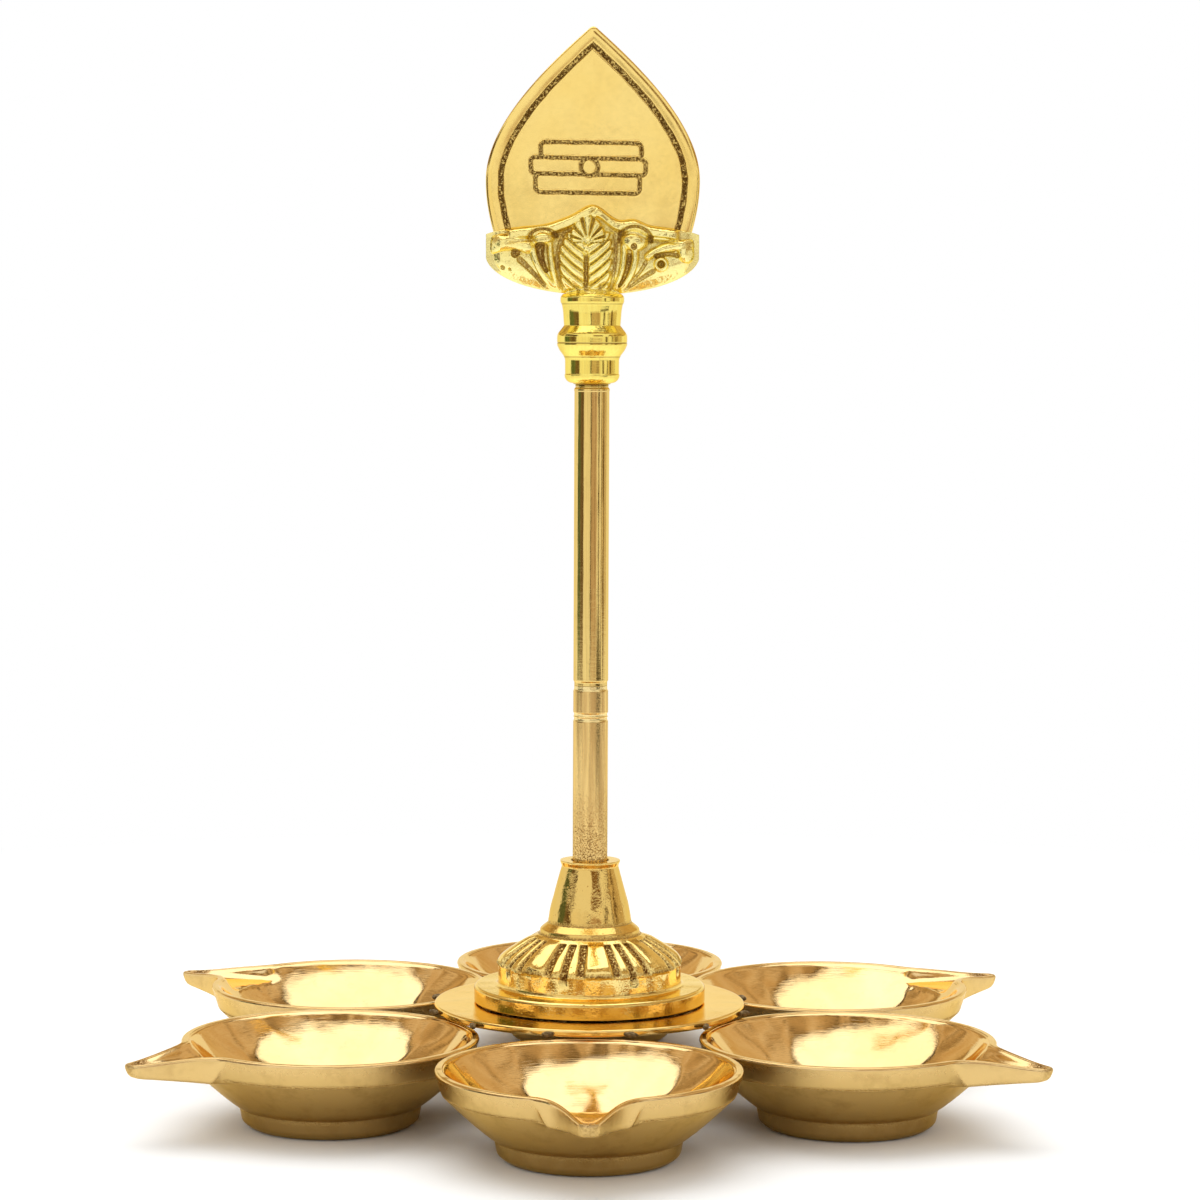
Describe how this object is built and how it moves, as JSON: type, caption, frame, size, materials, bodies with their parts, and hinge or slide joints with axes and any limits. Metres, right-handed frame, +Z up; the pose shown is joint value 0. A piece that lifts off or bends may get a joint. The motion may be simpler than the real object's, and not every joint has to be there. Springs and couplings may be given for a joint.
{
  "type": "oil lamp",
  "caption": "Brass oil lamp: round bowls with pinched wick spouts in a ring around a centre disc, with a fluted bell, a two-part screw-jointed stem and a spearhead finial.",
  "frame": {"origin": "on the stem's axis, on the surface that the six feet stand on", "axes": "+Z up the stem to the finial's tip; the front cup's spout points along -Y and the spearhead's marked face looks along -Y; +X to the right"},
  "size_m": [0.1948, 0.225, 0.2377],
  "materials": {
    "cup_brass": "polished inside the bowls and on the disc, satin with turning marks outside",
    "cast_brass": "cast and polished, with dark pitted recesses",
    "turned_brass": "turned and polished",
    "dull_brass": "turned, dulled by handling, with fine scratches",
    "solder": "dull braze metal, darkened by flux",
    "steel": "plain zinc-plated fastener"
  },
  "bodies": {
    "base": {"cup_1": "cup_brass", "cup_2": "cup_brass", "cup_3": "cup_brass", "cup_4": "cup_brass", "cup_5": "cup_brass", "cup_6": "cup_brass", "cup_1_solder_left": "solder", "cup_1_solder_right": "solder", "cup_2_solder_left": "solder", "cup_2_solder_right": "solder", "cup_3_solder_left": "solder", "cup_3_solder_right": "solder", "cup_4_solder_left": "solder", "cup_4_solder_right": "solder", "cup_5_solder_left": "solder", "cup_5_solder_right": "solder", "cup_6_solder_left": "solder", "cup_6_solder_right": "solder", "centre_disc": "cup_brass", "fluted_bell": "cast_brass", "clamp_bolt": "steel", "clamp_washer": "steel"},
    "lower_stud_body": {"base_stud": "dull_brass"},
    "lower_stem_body": {"lower_stem": "dull_brass"},
    "middle_stud_body": {"middle_stud": "dull_brass"},
    "upper_stem_body": {"upper_stem": "turned_brass"},
    "finial_stud_body": {"finial_stud": "dull_brass"},
    "finial_body": {"finial_socket": "turned_brass", "leaf_crown": "cast_brass", "spearhead": "cast_brass"}
  },
  "joints": [
    {"name": "stem_foot_screw_lift", "type": "slide", "parent": "base", "child": "lower_stud_body", "axis": [0, 0, 1], "range_m": [0, 0.0096]},
    {"name": "stem_foot_screw_turn", "type": "hinge", "parent": "lower_stud_body", "child": "lower_stem_body", "pos_m": [0, 0, 0.0515], "axis": [0, 0, 1], "range_deg": [0, 4320]},
    {"name": "stem_middle_screw_lift", "type": "slide", "parent": "lower_stem_body", "child": "middle_stud_body", "axis": [0, 0, 1], "range_m": [0, 0.0096]},
    {"name": "stem_middle_screw_turn", "type": "hinge", "parent": "middle_stud_body", "child": "upper_stem_body", "pos_m": [0, 0, 0.092], "axis": [0, 0, 1], "range_deg": [0, 4320]},
    {"name": "finial_screw_lift", "type": "slide", "parent": "upper_stem_body", "child": "finial_stud_body", "axis": [0, 0, 1], "range_m": [0, 0.0096]},
    {"name": "finial_screw_turn", "type": "hinge", "parent": "finial_stud_body", "child": "finial_body", "pos_m": [0, 0, 0.1587], "axis": [0, 0, 1], "range_deg": [0, 4320]}
  ],
  "couplings": [
    {"joint": "stem_foot_screw_turn", "follows": "stem_foot_screw_lift", "rad_per_m": 7854},
    {"joint": "stem_middle_screw_turn", "follows": "stem_middle_screw_lift", "rad_per_m": 7854},
    {"joint": "finial_screw_turn", "follows": "finial_screw_lift", "rad_per_m": 7854}
  ]
}
